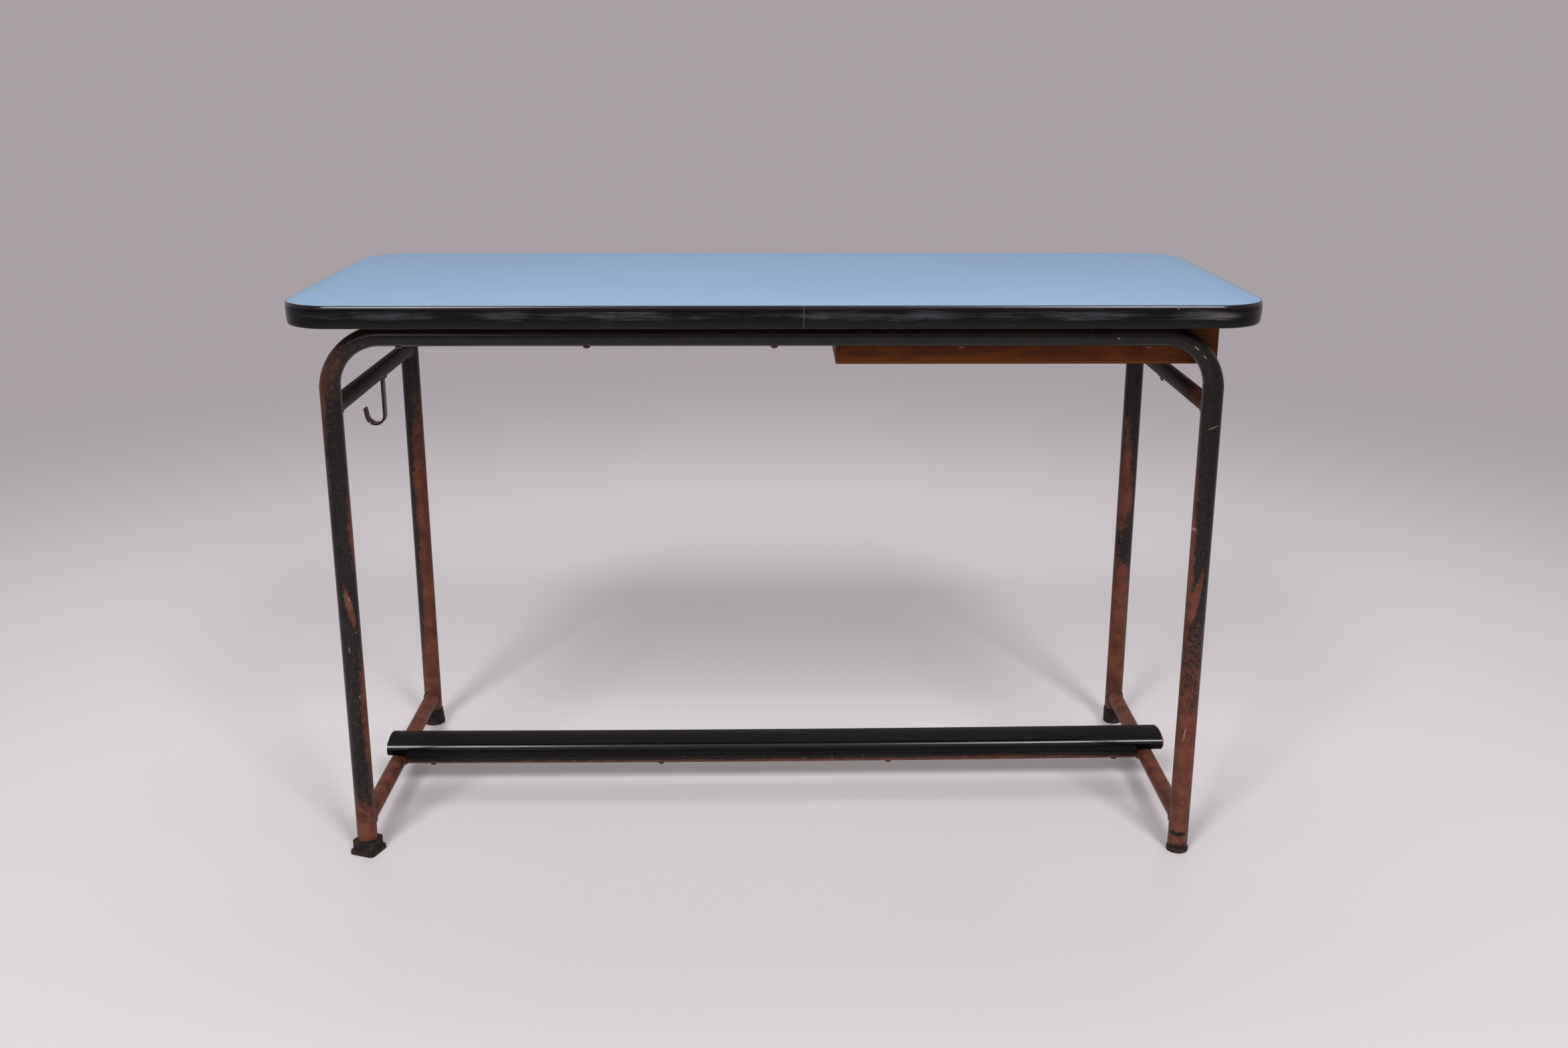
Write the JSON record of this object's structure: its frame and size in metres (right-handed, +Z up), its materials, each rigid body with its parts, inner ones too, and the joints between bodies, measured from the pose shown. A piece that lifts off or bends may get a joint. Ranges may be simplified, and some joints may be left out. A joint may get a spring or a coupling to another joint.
{
  "type": "double school desk",
  "caption": "Double school desk: rounded laminate top with black edge band on a welded bent-tube frame with footrest bar, bag hook and an under-top book shelf.",
  "frame": {"origin": "on the floor, under the middle of the top", "axes": "+X to the right along the top, +Y towards the seated pupils, +Z up; the closed side of the shelf faces -Y"},
  "size_m": [1.2, 0.522, 0.735],
  "materials": {
    "blue_laminate": "satin laminate, sky blue",
    "edge_plastic": "worn black moulding",
    "core_board": "raw pressed board",
    "backing_sheet": "dull brown phenolic sheet",
    "frame_paint": "black paint worn to red-brown primer",
    "weld_metal": "painted bead with rust",
    "screw_steel": "dulled and rusty",
    "footrest_plastic": "shiny black profile",
    "slat_wood": "bare beech",
    "shelf_plywood": "orange-brown varnished plywood",
    "cleat_wood": "bare pine",
    "foot_rubber": "black rubber"
  },
  "bodies": {
    "root": {"bag_hook": "frame_paint", "edge_band": "edge_plastic", "foot_front_left": "foot_rubber", "foot_front_right": "foot_rubber", "foot_rear_left": "foot_rubber", "foot_rear_right": "foot_rubber", "footrest_board": "slat_wood", "footrest_cover": "footrest_plastic", "footrest_tube": "frame_paint", "footrest_tube_welds": "weld_metal", "front_hoop": "frame_paint", "hook_stub": "frame_paint", "hook_welds": "weld_metal", "lower_rail_left": "frame_paint", "lower_rail_right": "frame_paint", "rail_welds": "weld_metal", "rear_hoop": "frame_paint", "shelf_cleat_front": "cleat_wood", "shelf_cleat_left": "cleat_wood", "shelf_cleat_right": "cleat_wood", "shelf_floor": "shelf_plywood", "shelf_front": "shelf_plywood", "shelf_wall_left": "shelf_plywood", "shelf_wall_right": "shelf_plywood", "top_backing": "backing_sheet", "top_laminate": "blue_laminate", "top_panel": "core_board", "upper_rail_left": "frame_paint", "upper_rail_right": "frame_paint"}
  },
  "joints": []
}
